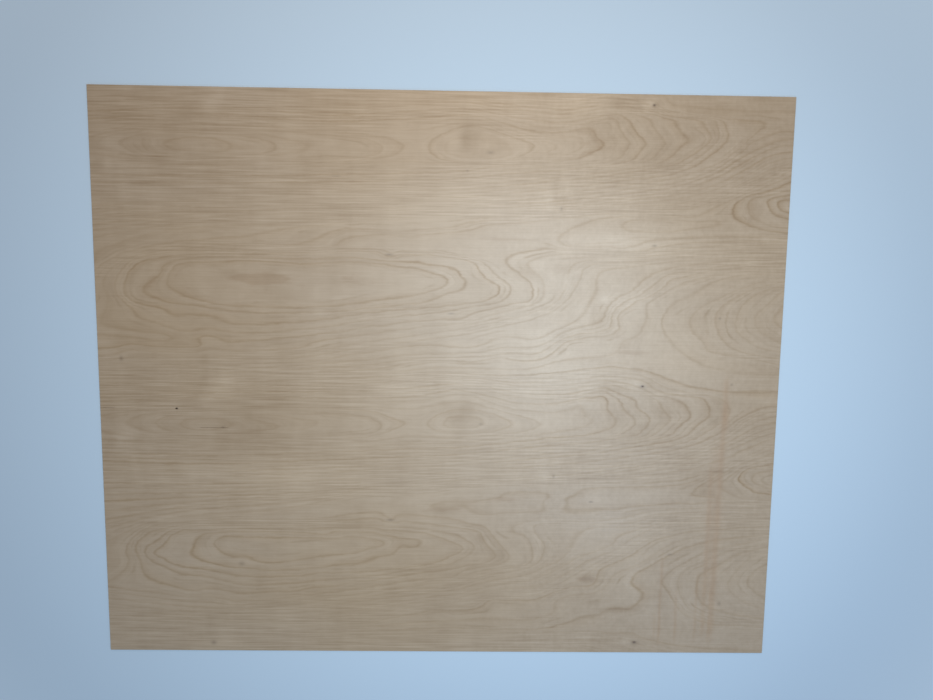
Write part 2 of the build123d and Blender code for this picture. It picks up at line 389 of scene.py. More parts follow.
LINES = (FIRST_VALLEY + FIRST_OVAL + AROUND_FIRST_OVAL + FIRST_TONGUES + FIRST_HALF_OVALS + MIDDLE
         + SECOND_VALLEY + SECOND_OVAL + AROUND_SECOND_OVAL + SECOND_TONGUES + SECOND_HALF_OVALS)

# Points on the lines and plateaus, in millimetres apart
line_step = 3.0
plateau_step = 6.0

# A line's open ends fade to the plain tone over this length, except where they reach the sheet's edge
end_fade = 130.0
plain_tone = 0.3
edge_reach = 1.0

# How firmly plateaus hold, and how stiff the ring surface is. It is settled as if the sheet were this many
# times shorter, so that rings run on along the grain
plateau_weight = 0.2
stiffness = 2.0
along_grain_stretch = 3.0

# Grids that the rings are settled on in turn: columns, rows, rounds
GRIDS = [(32, 27, 200), (63, 53, 200), (126, 105, 250), (251, 209, 300), (501, 418, 350)]

# What the solved rings are read with: the widest spacing, smoothing passes and the plain tone's share
widest_spacing = 200.0
spacing_passes = 3
tone_passes = 8
plain_share = 0.002

# Brown patches: x, y, half length, half height, turn in degrees, tone
PATCHES = [
    (318, 400, 34, 9, 0, 0.75), (368, 402, 46, 13, 0, 1.0), (400, 400, 14, 6, 0, 0.6),
    (550, 399, 24, 11, 0, 0.6), (120, 412, 26, 8, -48, 0.6), (122, 440, 22, 6, 27, 0.5),
    (893, 309, 60, 4, 0, 0.9), (1172, 552, 30, 5, 0, 1.0), (755, 914, 42, 7, 0, 0.6),
    (890, 886, 30, 5, 0, 0.75), (930, 895, 60, 14, 0, 0.3), (1086, 1073, 26, 11, 0, 0.9),
    (1075, 95, 40, 34, 0, 0.35), (1345, 864, 28, 9, 0, 0.55), (785, 697, 32, 9, 0, 0.4),
]

# Lighter and darker patches, partly the wood's own tone where the fibres dip or rise and partly painted sheen
# and painted shade, such as the whiter band near the top right and the darker top corners: x, y, half length,
# half height, turn in degrees, tone
TONE_SHEEN_AND_SHADE_PATCHES = [
    (205, 55, 60, 17, -42, -0.9), (262, 28, 34, 16, -45, 1.5), (215, 655, 70, 17, -45, -0.8),
    (262, 632, 52, 24, -35, 1.0), (232, 1195, 14, 55, 8, -0.7), (262, 1205, 26, 30, 0, 0.6),
    (38, 162, 12, 10, 0, 1.9), (70, 215, 12, 60, -8, 0.7), (20, 190, 16, 45, 0, -0.6),
    (38, 765, 14, 16, 0, 1.8), (72, 830, 12, 50, -10, 0.6), (20, 800, 20, 50, 0, -0.5),
    (804, 92, 24, 30, 6, -1.0), (775, 105, 13, 14, 0, 1.0), (808, 690, 22, 32, 0, -0.8),
    (780, 710, 22, 10, 0, -0.5), (1110, 45, 26, 34, 0, -0.7), (1090, 95, 40, 45, 0, -0.5),
    (1112, 640, 20, 40, 0, -0.6), (1112, 1235, 16, 22, 0, -0.7), (1090, 30, 22, 22, 0, 0.5),
    (740, 640, 8, 45, 0, -0.6), (992, 205, 8, 40, 4, -0.7), (1012, 205, 10, 34, 0, 0.5),
    (992, 800, 8, 40, 4, -0.6), (1012, 800, 12, 34, 0, 0.4), (612, 600, 8, 40, 0, -0.4),
    (1182, 20, 12, 12, 0, 1.6), (1180, 622, 14, 12, 0, 1.6), (1183, 1222, 12, 10, 0, 1.4),
    (1088, 475, 26, 22, 0, -0.8), (1085, 1073, 26, 14, 0, -0.9), (1360, 680, 40, 26, 0, -0.5),
    (1160, 1145, 34, 7, 0, -1.3), (700, 545, 60, 12, -4, -0.5), (1310, 500, 30, 60, 0, -0.4),
    (985, 939, 45, 4, -4, 1.0), (958, 955, 14, 6, 20, 1.0), (966, 976, 6, 14, -30, 1.2),
    (974, 1000, 5, 18, 0, 1.2), (968, 1024, 5, 10, 10, 0.9), (1020, 400, 5, 22, 12, 0.9),
    (1045, 375, 18, 5, -20, 0.5), (430, 905, 45, 5, -12, 0.9), (600, 878, 70, 4, -3, 0.5),
    (700, 270, 110, 5, -3, 0.8), (500, 284, 60, 4, -8, 0.6), (317, 437, 10, 5, 0, 0.9),
    (318, 1030, 8, 8, 0, 0.8), (525, 440, 12, 5, 0, 0.4), (1104, 436, 8, 8, 0, 1.0),
    (804, 914, 16, 6, 0, 0.9), (984, 890, 8, 7, 0, 1.1), (1025, 25, 45, 28, 0, 1.3),
    (1190, 22, 10, 10, 0, 1.2), (530, 285, 50, 14, 0, 0.7), (640, 280, 90, 8, 0, 0.6),
    (650, 345, 15, 18, 0, 0.7), (740, 380, 15, 12, 0, 0.7), (965, 225, 30, 25, 0, 0.7),
    (1150, 310, 75, 18, 0, 1.3), (1220, 365, 25, 25, 0, 0.7), (80, 340, 15, 50, 0, 0.6),
    (75, 440, 15, 25, 0, 0.6), (10, 545, 25, 14, 0, 1.3), (70, 155, 20, 20, 0, 0.6),
    (1068, 460, 9, 28, 0, 0.8), (1300, 530, 35, 28, 0, 1.2), (1240, 490, 15, 18, 0, 0.7),
    (1290, 600, 45, 35, 0, 0.7), (980, 540, 40, 30, 0, 0.6), (1120, 440, 20, 15, 0, 0.6),
    (280, 635, 40, 22, 0, 0.9), (1470, 645, 45, 16, 0, 1.3), (60, 755, 20, 18, 0, 0.6),
    (75, 800, 14, 18, 0, 0.6), (430, 830, 65, 18, 0, 1.3), (440, 870, 40, 22, 0, 0.7),
    (970, 800, 14, 30, 0, 0.7), (1140, 945, 30, 25, 0, 1.2), (1060, 940, 30, 25, 0, 0.7),
    (1120, 1000, 120, 100, 0, 0.3), (255, 1015, 22, 10, 0, 1.2), (340, 1035, 30, 8, 0, 0.7),
    (370, 980, 30, 8, 0, 0.6), (20, 1220, 25, 20, 0, 0.6), (265, 1225, 16, 15, 0, 1.0),
    (1350, 1140, 25, 30, 0, 0.6), (1215, 1110, 15, 15, 0, 0.6), (1470, 1070, 20, 15, 0, 0.6),
    (10, 125, 22, 18, 0, -1.3), (145, 155, 20, 18, 0, -1.3), (45, 225, 20, 22, 0, -0.6),
    (800, 110, 22, 22, 0, -0.8), (1220, 130, 40, 28, 0, -1.3), (1130, 100, 20, 18, 0, -0.7),
    (1120, 20, 10, 12, 0, -0.7), (1470, 130, 22, 38, 0, -0.7), (1270, 225, 120, 25, -12, -0.7),
    (305, 390, 30, 12, 0, -0.5), (860, 440, 45, 30, 0, -0.6), (830, 400, 30, 20, 0, -0.6),
    (1330, 470, 11, 32, 0, -1.3), (1150, 540, 20, 14, 0, -0.6), (230, 580, 12, 25, 0, -1.2),
    (340, 580, 35, 22, 0, -0.7), (335, 725, 42, 60, 0, -1.2), (270, 725, 170, 55, 0, -0.4),
    (20, 720, 20, 38, 0, -1.2), (760, 670, 18, 14, 0, -1.2), (1150, 690, 38, 32, 0, -1.2),
    (1210, 640, 10, 25, 0, -0.7), (1250, 690, 24, 28, 0, -1.2), (1310, 800, 30, 18, 0, -1.2),
    (1380, 820, 20, 14, 0, -0.6), (995, 870, 8, 38, 0, -0.6), (175, 1020, 18, 18, 0, -0.7),
    (390, 1020, 25, 8, 0, -0.7), (700, 1000, 20, 10, 0, -0.6), (510, 1080, 20, 9, 0, -0.6),
    (870, 1010, 28, 18, 0, -0.7), (765, 1060, 22, 12, 0, -0.7), (755, 1145, 32, 14, 0, -1.2),
    (225, 1170, 13, 38, 0, -0.8), (1370, 1000, 20, 9, 0, -0.6), (1365, 940, 20, 14, 0, -0.6),
    (700, 235, 330, 45, 0, 0.5), (270, 720, 260, 80, 0, -0.5), (380, 850, 320, 45, 0, 0.6),
    (640, 630, 110, 50, 0, 0.7), (1010, 620, 110, 60, 0, 0.7), (1200, 150, 150, 60, 0, -0.6),
    (1180, 320, 170, 25, 0, 0.6), (820, 460, 110, 40, 0, -0.6), (785, 692, 36, 22, 0, -1.3),
    (1345, 858, 35, 18, 0, -1.5), (1180, 740, 80, 30, 0, -0.7), (1190, 1040, 170, 110, 0, 0.4),
    (940, 20, 160, 30, 0, 0.6), (150, 140, 120, 60, 0, -0.6), (1310, 680, 110, 30, 0, -0.6),
    (760, 1080, 60, 110, 0, -0.5), (300, 832, 200, 22, 0, 0.7), (60, 60, 260, 170, 0, -0.5),
    (1440, 60, 160, 150, 0, -0.5), (1450, 730, 140, 130, 0, -0.4), (1130, 940, 130, 120, 0, 0.5),
    (1440, 1180, 130, 110, 0, 0.4), (70, 1120, 150, 140, 0, 0.4), (880, 60, 130, 90, 0, 0.3),
    (1060, 10, 40, 14, 0, 1.0), (1190, 20, 10, 9, 0, 0.8), (850, 75, 60, 14, 0, -0.7),
    (1260, 80, 70, 16, 0, -0.8), (1135, 112, 28, 10, 0, -0.8), (982, 225, 10, 22, 0, 0.8),
    (1010, 225, 8, 26, 0, -0.8), (1430, 245, 20, 24, 0, -0.9), (1475, 300, 45, 14, 0, 1.2),
    (930, 380, 26, 12, 20, -1.0), (1010, 370, 30, 10, 0, -0.6), (570, 405, 55, 9, 0, -0.9),
    (300, 395, 25, 12, 0, -0.6), (1170, 450, 60, 40, 0, 0.9), (1055, 460, 14, 30, 25, 0.8),
    (1345, 430, 22, 14, 0, -0.7), (230, 622, 12, 14, 0, -1.2), (380, 672, 60, 14, 0, -1.0),
    (1140, 632, 35, 9, 0, -1.0), (1075, 690, 35, 9, -15, -0.8), (785, 740, 18, 34, 0, -0.8),
    (30, 770, 22, 12, 0, -1.2), (150, 740, 25, 30, 0, -0.7), (1340, 820, 60, 10, 0, -0.8),
    (1355, 872, 26, 12, 0, -0.9), (988, 820, 9, 34, 0, 1.2), (755, 918, 38, 9, 0, -1.3),
    (893, 1022, 16, 16, 0, -1.2), (850, 975, 14, 16, 45, -0.8), (215, 990, 14, 16, 0, -1.2),
    (190, 1015, 10, 10, 0, 0.9), (525, 1075, 26, 12, 0, -0.7), (1190, 1080, 14, 22, 0, 1.1),
    (1095, 1130, 40, 16, 0, -0.8), (1252, 1100, 10, 26, 0, -0.8), (1425, 1195, 35, 10, 0, 0.9),
    (797, 90, 8, 26, 8, -1.0), (850, 110, 14, 10, 0, 0.8), (745, 110, 10, 14, 0, -0.7),
    (820, 140, 18, 14, 0, -0.7), (965, 110, 22, 12, 0, 0.6), (320, 760, 100, 30, 0, -0.6),
    (1060, 430, 60, 50, 0, -0.5), (1330, 570, 60, 50, 0, 0.6),
]

# Places where the lines grow faint: x, y, half length, half height, turn in degrees, how much
FAINT = [
    (160, 392, 22, 26, 0, 0.7), (45, 410, 34, 62, 0, 0.45), (18, 455, 16, 60, 0, 0.5),
    (60, 600, 70, 40, 0, 0.3), (1010, 104, 60, 16, 0, 0.5), (940, 145, 90, 14, -4, 0.5),
    (1040, 62, 40, 18, 0, 0.4), (1140, 350, 60, 60, 0, 0.35), (620, 1010, 90, 30, 0, 0.3),
    (20, 1076, 30, 20, 0, 0.5),
]

# Dark knots and dots: x, y, half length, half height, tone
SPOTS = [
    (1197, 22, 3.2, 2.4, 1.6), (1196, 627, 3.6, 2.4, 1.7), (1201, 1225, 4.2, 2.8, 1.5),
    (1198, 24, 9.0, 5.0, 0.35), (1197, 628, 10.0, 5.5, 0.4), (1202, 1226, 11.0, 6.0, 0.4),
    (1005, 242, 3.6, 4.6, 0.6), (1004, 834, 3.6, 5.0, 0.6), (168, 688, 2.6, 2.6, 1.4),
    (634, 345, 8.0, 2.2, 0.9), (638, 938, 8.0, 2.6, 0.9), (770, 471, 7.0, 2.0, 0.8),
    (1210, 318, 5.0, 2.2, 0.9), (1090, 892, 5.0, 2.2, 0.9), (1395, 621, 3.0, 3.0, 0.7),
    (520, 180, 10.0, 1.6, 0.5), (801, 165, 3.0, 2.4, 0.6), (50, 578, 4.0, 5.0, 0.8),
    (303, 1043, 7.0, 5.0, 0.6), (235, 1231, 6.0, 5.0, 0.8), (1361, 474, 2.6, 2.6, 0.8),
    (1394, 1130, 4.0, 5.0, 0.55), (1275, 1014, 6.0, 2.6, 0.6), (850, 126, 7.0, 3.0, 0.7),
    (246, 730, 30.0, 1.1, 0.75), (12, 688, 18.0, 1.0, 0.6), (838, 716, 4.5, 2.4, 0.6),
    (268, 729, 4.5, 2.0, 0.9), (1085, 1073, 14.0, 4.5, 0.25),
]

# Reddish stain runs across the grain: x at the top, x at the foot, top, foot, half width, tone
STAINS = [
    (1384, 1376, 585, 1235, 6.5, 0.75), (1359, 1357, 790, 1230, 5.5, 0.6),
    (1370, 1367, 740, 1130, 12.0, 0.4), (1258, 1256, 1000, 1245, 3.4, 0.7),
    (1246, 1245, 1130, 1245, 3.0, 0.35), (1293, 1294, 1080, 1240, 3.4, 0.55),
    (1341, 1339, 1040, 1240, 3.2, 0.45), (1388, 1386, 640, 740, 8.0, 0.6),
    (1334, 1336, 480, 560, 2.6, 0.25), (1372, 1370, 1080, 1240, 3.0, 0.45),
]

# Small real hollows: x, y, radius, depth
PITS = [(1197, 22, 1.6, 0.5), (1196, 627, 1.7, 0.6), (1201, 1225, 1.6, 0.4), (168, 688, 1.5, 1.2),
        (1005, 242, 1.3, 0.4), (1004, 834, 1.3, 0.4)]

# A pit's rings of points, from its lip to its floor: share of the radius, share of the depth.
# Every second point of the lip faces a corner of the cell, and the first one faces its first corner
PIT_RINGS = [(1.0, 0.0), (0.75, 0.6), (0.4, 1.0)]
pit_sides = 8
first_corner_angle = -135.0

# Open splits along the grain: from x, to x, y, depth
SPLITS = [(215.0, 282.0, 730.0, 0.45), (0.0, 31.0, 688.0, 0.6)]
split_half_width = 0.35
split_clearance = 1.2

# The face mesh is finer where the figure turns across the grain
coarse_until = 850.0
coarse_column = 7.0
fine_column = 4.5
row_height = 4.1

# The underside's grid takes only one in so many points of the rim, and starts this far in
back_every = 11
back_inset = 25.0

# The edges: a shallow groove at each glue line, and plies that are a little uneven
groove_half = 0.06
groove_depth = 0.09
groove_lip = 0.02
ply_unevenness = 0.05
edge_seed = 11

# The texture map, as shares of its square: the face on top, the back under it, then the four edge strips
map_margin = 0.004
face_foot = 0.28
back_foot = 0.05
strip_foot = 0.003
strip_height = 0.0085
strip_gap = 0.002

# Noise layers: humps a metre along x, y and z, detail, roughness, and a shift that sets each one apart
NOISES = {
    "fibres": ((9.0, 520.0, 1.0), 3.0, 0.6, (0.0, 0.0, 0.0)),
    "streaks": ((3.0, 150.0, 1.0), 3.0, 0.68, (7.0, 3.0, 0.0)),
    "pores": ((170.0, 2300.0, 1.0), 1.0, 0.5, (1.0, 9.0, 0.0)),
    "threads": ((7.0, 270.0, 1.0), 1.0, 0.6, (9.0, 6.0, 0.0)),
    "ring streaks": ((1.0, 1.0, 1.0), 4.0, 0.7, (0.0, 0.0, 0.0)),
    "line ripple": ((22.0, 160.0, 1.0), 3.0, 0.62, (2.0, 5.0, 0.0)),
    "line wobble": ((45.0, 60.0, 1.0), 2.0, 0.5, (1.0, 4.0, 0.0)),
    "line gaps": ((6.0, 18.0, 1.0), 4.0, 0.65, (0.0, 2.0, 0.0)),
    "faint lines": ((7.0, 16.0, 1.0), 3.0, 0.6, (5.0, 5.0, 0.0)),
    "warmth": ((1.1, 3.2, 1.0), 3.0, 0.55, (3.0, 1.0, 0.0)),
    "ragged patches": ((18.0, 90.0, 1.0), 3.0, 0.6, (6.0, 1.0, 0.0)),
    "stain wander": ((3.0, 14.0, 1.0), 3.0, 0.5, (0.0, 0.0, 0.0)),
    "stain patches": ((8.0, 22.0, 1.0), 3.0, 0.5, (4.0, 0.0, 0.0)),
    "curl": ((16.0, 4.0, 1.0), 3.0, 0.6, (0.0, 8.0, 0.0)),
    "mottle": ((24.0, 40.0, 1.0), 3.0, 0.65, (5.0, 2.0, 0.0)),
    "flecks": ((95.0, 70.0, 1.0), 2.0, 0.6, (8.0, 8.0, 0.0)),
    "back hills": ((0.85, 2.6, 1.0), 2.0, 0.35, (11.0, 4.0, 0.0)),
    "back ripple": ((18.0, 120.0, 1.0), 3.0, 0.6, (0.0, 0.0, 0.0)),
    "back warmth": ((1.3, 3.5, 1.0), 3.0, 0.55, (8.0, 6.0, 0.0)),
    "end dots": ((1500.0, 1500.0, 2600.0), 2.0, 0.6, (0.0, 0.0, 0.0)),
    "end rings": ((260.0, 260.0, 60.0), 2.0, 0.5, (3.0, 3.0, 1.0)),
    "long fibres": ((30.0, 30.0, 5200.0), 3.0, 0.6, (0.0, 0.0, 0.0)),
    "grime": ((6.0, 6.0, 40.0), 3.0, 0.55, (5.0, 5.0, 5.0)),
}

# Ring lines, in millimetres or as shares of the rings' spacing. The halo is broad on the figure's inner
# side, which changes over at the folds between the ovals and the chevrons
core_width = 1.5
core_growth = 0.03
core_limit = 0.24
halo_width = 1.8
halo_outer_share = 0.06
halo_inner_share = 0.22
halo_spacing_limit = 90.0
fold_rings = (-12.5, -8.5)
side_blend = 1.5

# Each ring's own strength: a base and a random share
ring_strength = 0.65
ring_strength_spread = 0.7
face_line_seed = 3.0
faint_line_seed = 90.0
back_line_seed = 40.0
faint_line_tone = 0.6
half_way = 0.5

# Gaps in the lines: how deep they go, and what is always left of a line
gap_depth = 1.5
least_line = 0.15

# How far lines ripple and wobble, in millimetres, and how ragged the brown patches are
ripple_reach = 4.2
wobble_reach = 2.0
raggedness = 0.8

# What follows the rings' spacing: from and to in millimetres, then the value at each. Lines in dense
# grain are weaker, and fine threads take their place there
lines_by_spacing = (2.0, 24.0, 0.5, 1.0)
threads_by_spacing = (16.0, 6.0, 0.3, 1.35)
streaks_by_spacing = (6.0, 16.0, 0.10, 0.18)
faint_lines_begin = (6.0, 13.0)
faint_lines_end = (60.0, 40.0)

# Where a noise layer starts to show and shows in full
pore_limits = (0.32, 0.62)
patch_limits = (0.12, 0.75)
faint_line_limits = (-0.1, 0.3)

# The flecks begin where the figure turns across the grain, from and to in millimetres
flecks_begin = (700.0, 1050.0)

# Stain runs, in millimetres: how far they wander, and the length over which each end runs out
stain_wander = 2.5
stain_run_out = 45.0
stain_evenness = 0.75
stain_patchiness = 0.5

# How warm the wood is on each side, and how much that changes from place to place
face_warmth = 0.45
back_warmth = 0.55
warmth_change = 0.9

# Colours of the wood and its marks
pale_birch = (0.470, 0.362, 0.250)
warm_birch = (0.448, 0.326, 0.200)
line_brown = (0.259, 0.157, 0.062)
halo_brown = (0.343, 0.210, 0.088)
patch_brown = (0.300, 0.180, 0.085)
knot_brown = (0.150, 0.095, 0.055)
stain_red = (0.420, 0.275, 0.155)
long_grain_pale = (0.58, 0.44, 0.29)
long_grain_dark = (0.47, 0.34, 0.21)
end_grain_pale = (0.48, 0.35, 0.22)
end_grain_dark = (0.33, 0.23, 0.135)
glue_brown = (0.15, 0.09, 0.05)
grime_brown = (0.19, 0.135, 0.09)

# Wood that is darker is also warmer, and lighter places, painted sheen among them, turn whiter: how far red,
# green and blue follow the light
shade_shares = (0.8, 0.98, 1.24)
face_sheen = 0.85

# The camera, worked out from where the sheet's four corners lie in the photograph
camera_place = (0.0297, 0.2397, 1.5334)
camera_turns = (-6.177, -0.841, 0.788)
camera_lens = 27.0
sensor_width = 36.0

# A soft window that gives the face its sheen, and broad lamps round it:
# name, place, what it faces, size, watts, colour, spread in degrees
LAMPS = [
    ("window", (0.42, 0.10, 2.0), (0.10, 0.05, 0.0), 0.9, 10.3, (0.83, 0.94, 1.0), 110.0),
    ("sky", (0.85, -0.85, 2.0), (0.40, -0.25, 0.0), 1.0, 2.3, (0.24, 0.54, 1.0), 110.0),
    ("fill", (0.05, 1.35, 1.7), (0.05, 0.35, 0.0), 1.2, 9.1, (1.0, 0.66, 0.35), 180.0),
    ("low", (-0.9, -1.9, 1.1), (-0.2, -0.5, 0.0), 1.2, 2.4, (0.50, 0.76, 1.0), 180.0),
]
world_light = (0.73, 0.82, 1.0)
world_strength = 0.27

# The floor, in metres. Beyond the sheet it grows as bright as the background, to the camera alone
floor_half = 4.5
floor_height = -0.0002
floor_shade = (0.60, 0.74, 0.86)
fade_start = 1.05
fade_end = 2.4
far_glow = (0.48, 0.58, 0.63)


def places(text):
    """The points written as "x,y x,y"."""
    return np.array([[float(value) for value in pair.split(",")] for pair in text.split()])


def blend(t, start, end, a, b):
    """From a to b as t goes from start to end."""
    return ((end - t) * a + (t - start) * b) / (end - start)


def curve_through(points, step):
    """Points about step apart on a centripetal Catmull-Rom curve through the given ones."""
    if np.allclose(points[0], points[-1]):
        knots = np.vstack([points[-2], points, points[1]])
    else:
        knots = np.vstack([2 * points[0] - points[1], points, 2 * points[-1] - points[-2]])
    pieces = []
    for number in range(1, len(knots) - 2):
        a, b, c, d = knots[number - 1:number + 3]
        chords = [max(np.linalg.norm(q - p), 1e-6) ** 0.5 for p, q in ((a, b), (b, c), (c, d))]
        t0, t1, t2, t3 = np.cumsum([0.0] + chords)
        count = max(1, int(np.linalg.norm(c - b) / step))
        t = (t1 + (t2 - t1) * np.arange(count) / count)[:, None]
        ab = blend(t, t0, t1, a, b)
        bc = blend(t, t1, t2, b, c)
        cd = blend(t, t2, t3, c, d)
        pieces.append(blend(t, t1, t2, blend(t, t0, t2, ab, bc), blend(t, t1, t3, bc, cd)))
    pieces.append(points[-1:])
    return np.vstack(pieces)


def at_edge(place):
    return min(place[0], place[1], length - place[0], width - place[1]) <= edge_reach


def line_samples():
    """Rows of x, y, ring number, weight and tone along every line and plateau. Open ends fade."""
    rows = []
    for ring, tone, text in LINES:
        curve = curve_through(places(text), line_step)
        closed = np.allclose(curve[0], curve[-1])
        walked = np.arange(len(curve)) * line_step
        share = np.ones(len(curve))
        for place, away in ((curve[0], walked), (curve[-1], walked[::-1])):
            if not closed and not at_edge(place):
                share = np.minimum(share, away / end_fade)
        for (x, y), kept in zip(curve, share):
            rows.append((x, y, ring, 1.0, plain_tone + (tone - plain_tone) * kept))
    for ring, text in PLATEAUS:
        for x, y in curve_through(places(text), plateau_step):
            rows.append((x, y, ring, plateau_weight, 0.0))
    return np.array(rows)


class Cells:
    """Where points lie in a grid over the face, to read from it and to add to it."""

    def __init__(self, x, y, columns, rows):
        self.shape = (rows, columns)
        just_inside = 0.001
        across = np.clip(x / length * (columns - 1), 0, columns - 1 - just_inside)
        down = np.clip(y / width * (rows - 1), 0, rows - 1 - just_inside)
        column = across.astype(int)
        row = down.astype(int)
        fx = across - column
        fy = down - row
        first = row * columns + column
        self.corners = (first, first + 1, first + columns, first + columns + 1)
        self.shares = ((1 - fx) * (1 - fy), fx * (1 - fy), (1 - fx) * fy, fx * fy)

    def read(self, grid):
        flat = grid.ravel()
        return sum(share * flat[corner] for corner, share in zip(self.corners, self.shares))

    def gathered(self, values, power=1):
        """The values on the grid, each shared out among its four corners."""
        size = self.shape[0] * self.shape[1]
        total = sum(np.bincount(corner, share ** power * values, size)
                    for corner, share in zip(self.corners, self.shares))
        return total.reshape(self.shape)


def refine(grid, columns, rows):
    """The same surface on a finer grid."""
    y, x = np.meshgrid(np.linspace(0, width, rows), np.linspace(0, length, columns), indexing="ij")
    cells = Cells(x.ravel(), y.ravel(), grid.shape[1], grid.shape[0])
    return cells.read(grid).reshape(rows, columns)


def settle(grid, samples, rounds):
    """The smoothest ring surface near the samples, by conjugate gradients from the given start."""
    rows, columns = grid.shape
    cells = Cells(samples[:, 0], samples[:, 1], columns, rows)
    weight = samples[:, 3]
    hx = length / (columns - 1) / along_grain_stretch
    hy = width / (rows - 1)
    along = stiffness * hy / hx ** 3
    across = stiffness * hx / hy ** 3
    twist = 2 * stiffness / (hx * hy)

    def pull(u):
        out = cells.gathered(cells.read(u) * weight)
        for values, pulled, firmness in ((u.T, out.T, along), (u, out, across)):
            bend = firmness * (values[2:] - 2 * values[1:-1] + values[:-2])
            pulled[2:] += bend
            pulled[1:-1] -= 2 * bend
            pulled[:-2] += bend
        bend = twist * (u[1:, 1:] - u[1:, :-1] - u[:-1, 1:] + u[:-1, :-1])
        out[1:, 1:] += bend
        out[1:, :-1] -= bend
        out[:-1, 1:] -= bend
        out[:-1, :-1] += bend
        return out

    scale = cells.gathered(weight, power=2) + 6 * along + 6 * across + 4 * twist
    miss = cells.gathered(samples[:, 2] * weight) - pull(grid)
    step = miss / scale
    size = (miss * step).sum()
    for _ in range(rounds):
        pulled = pull(step)
        share = size / (step * pulled).sum()
        grid = grid + share * step
        miss = miss - share * pulled
        eased = miss / scale
        new_size = (miss * eased).sum()
        step = eased + new_size / size * step
        size = new_size
    return grid


def blurred(grid, passes):
    """The grid after a few passes of a small smoothing filter."""
    for _ in range(passes):
        padded = np.pad(grid, 1, mode="edge")
        grid = (padded[:-2, 1:-1] + padded[2:, 1:-1] + padded[1:-1, :-2] + padded[1:-1, 2:] + 2 * grid) / 6
    return grid


def solve_rings(samples):
    """Ring number, millimetres a ring and line tone, each on the finest grid."""
    rings = np.full((GRIDS[0][1], GRIDS[0][0]), samples[:, 2].mean())
    for columns, rows, rounds in GRIDS:
        rings = settle(refine(rings, columns, rows), samples, rounds)
    rows, columns = rings.shape
    slope_y, slope_x = np.gradient(rings, width / (rows - 1), length / (columns - 1))
    slope = np.maximum(np.hypot(slope_x, slope_y), 1 / widest_spacing)
    drawn = samples[samples[:, 4] > 0]
    cells = Cells(drawn[:, 0], drawn[:, 1], columns, rows)
    painted = blurred(cells.gathered(drawn[:, 4]), tone_passes) + plain_tone * plain_share
    covered = blurred(cells.gathered(np.ones(len(drawn))), tone_passes) + plain_share
    return rings, blurred(1 / slope, spacing_passes), painted / covered


def soft_marks(x, y, marks):
    """The sum of soft ellipses, each written as x, y, half length, half height, turn in degrees and tone."""
    total = np.zeros_like(x)
    for mark_x, mark_y, half_length, half_height, turn, tone in marks:
        angle = math.radians(turn)
        dx = x - mark_x
        dy = y - mark_y
        along = (dx * math.cos(angle) + dy * math.sin(angle)) / half_length
        across = (dy * math.cos(angle) - dx * math.sin(angle)) / half_height
        total += np.exp(-(along ** 2 + across ** 2)) * tone
    return total


def face_grid():
    """The x and y lines of the face mesh, inside the arris, with three close lines at each split."""
    left = np.linspace(arris, coarse_until, round(coarse_until / coarse_column))
    right = np.linspace(coarse_until, length - arris, round((length - coarse_until) / fine_column))
    down = np.linspace(arris, width - arris, round(width / row_height))
    splits = [split[2] for split in SPLITS]
    close = [place + side * split_half_width for place in splits for side in (-1, 0, 1)]
    kept = [value for value in down if all(abs(value - place) > split_clearance for place in splits)]
    return np.concatenate([left, right[1:]]), np.array(sorted(kept + close))


def cell_of(lines, value):
    return int(np.clip(np.searchsorted(lines, value) - 1, 0, len(lines) - 2))


def face_points(columns, rows):
    """The face's points, with the splits pressed in: x, y down the sheet, depth below the face."""
    y, x = np.meshgrid(rows, columns, indexing="ij")
    depth = np.zeros_like(x)
    for start, end, place, deep in SPLITS:
        inside = (abs(y - place) < split_half_width / 2) & (x >= start) & (x <= end)
        depth[inside] = deep
    return [tuple(point) for point in np.stack([x.ravel(), y.ravel(), depth.ravel()], 1)]


def pit_faces(points, corners, radius, deep):
    """Faces that sink a round pit in one cell of the face. They add their points to the list."""
    middle = np.mean([points[corner][:2] for corner in corners], axis=0)
    rings = []
    for scale, share in PIT_RINGS:
        rings.append(range(len(points), len(points) + pit_sides))
        for side in range(pit_sides):
            angle = math.radians(first_corner_angle + side * 360 / pit_sides)
            points.append((middle[0] + scale * radius * math.cos(angle),
                           middle[1] + scale * radius * math.sin(angle), share * deep))
    faces = []
    lip = rings[0]
    for number, corner in enumerate(corners):
        here = 2 * number
        after = lip[(here + 1) % pit_sides]
        faces.append((corner, lip[here], lip[(here - 1) % pit_sides]))
        faces.append((corner, after, lip[here]))
        faces.append((corner, corners[(number + 1) % 4], after))
    for outer, inner in zip(rings, rings[1:]):
        for side in range(pit_sides):
            after = (side + 1) % pit_sides
            faces.append((outer[side], outer[after], inner[after], inner[side]))
    faces.append(tuple(rings[-1]))
    return faces


def face_part(columns, rows):
    """The points and faces of the face veneer. Points are x and y down the sheet, and height."""
    across = len(columns)
    pits = {(cell_of(rows, y), cell_of(columns, x)): (radius, deep) for x, y, radius, deep in PITS}
    points = face_points(columns, rows)
    faces = []
    for row in range(len(rows) - 1):
        for column in range(across - 1):
            first = row * across + column
            corners = (first, first + 1, first + across + 1, first + across)
            if (row, column) in pits:
                faces += pit_faces(points, corners, *pits[row, column])
            else:
                faces.append(corners)
    return [(x, y, thickness - below) for x, y, below in points], faces


def groove(height):
    """The bands of a glue line, each a height and an inset."""
    return [(height + groove_half, groove_lip), (height, groove_depth), (height - groove_half, groove_lip)]


def drawn_in(value, size, sink):
    """A coordinate of the rim, moved in from the side that it lies at."""
    at_side = arris * 1.01
    if value <= at_side:
        return sink
    if value >= size - at_side:
        return size - sink
    return value


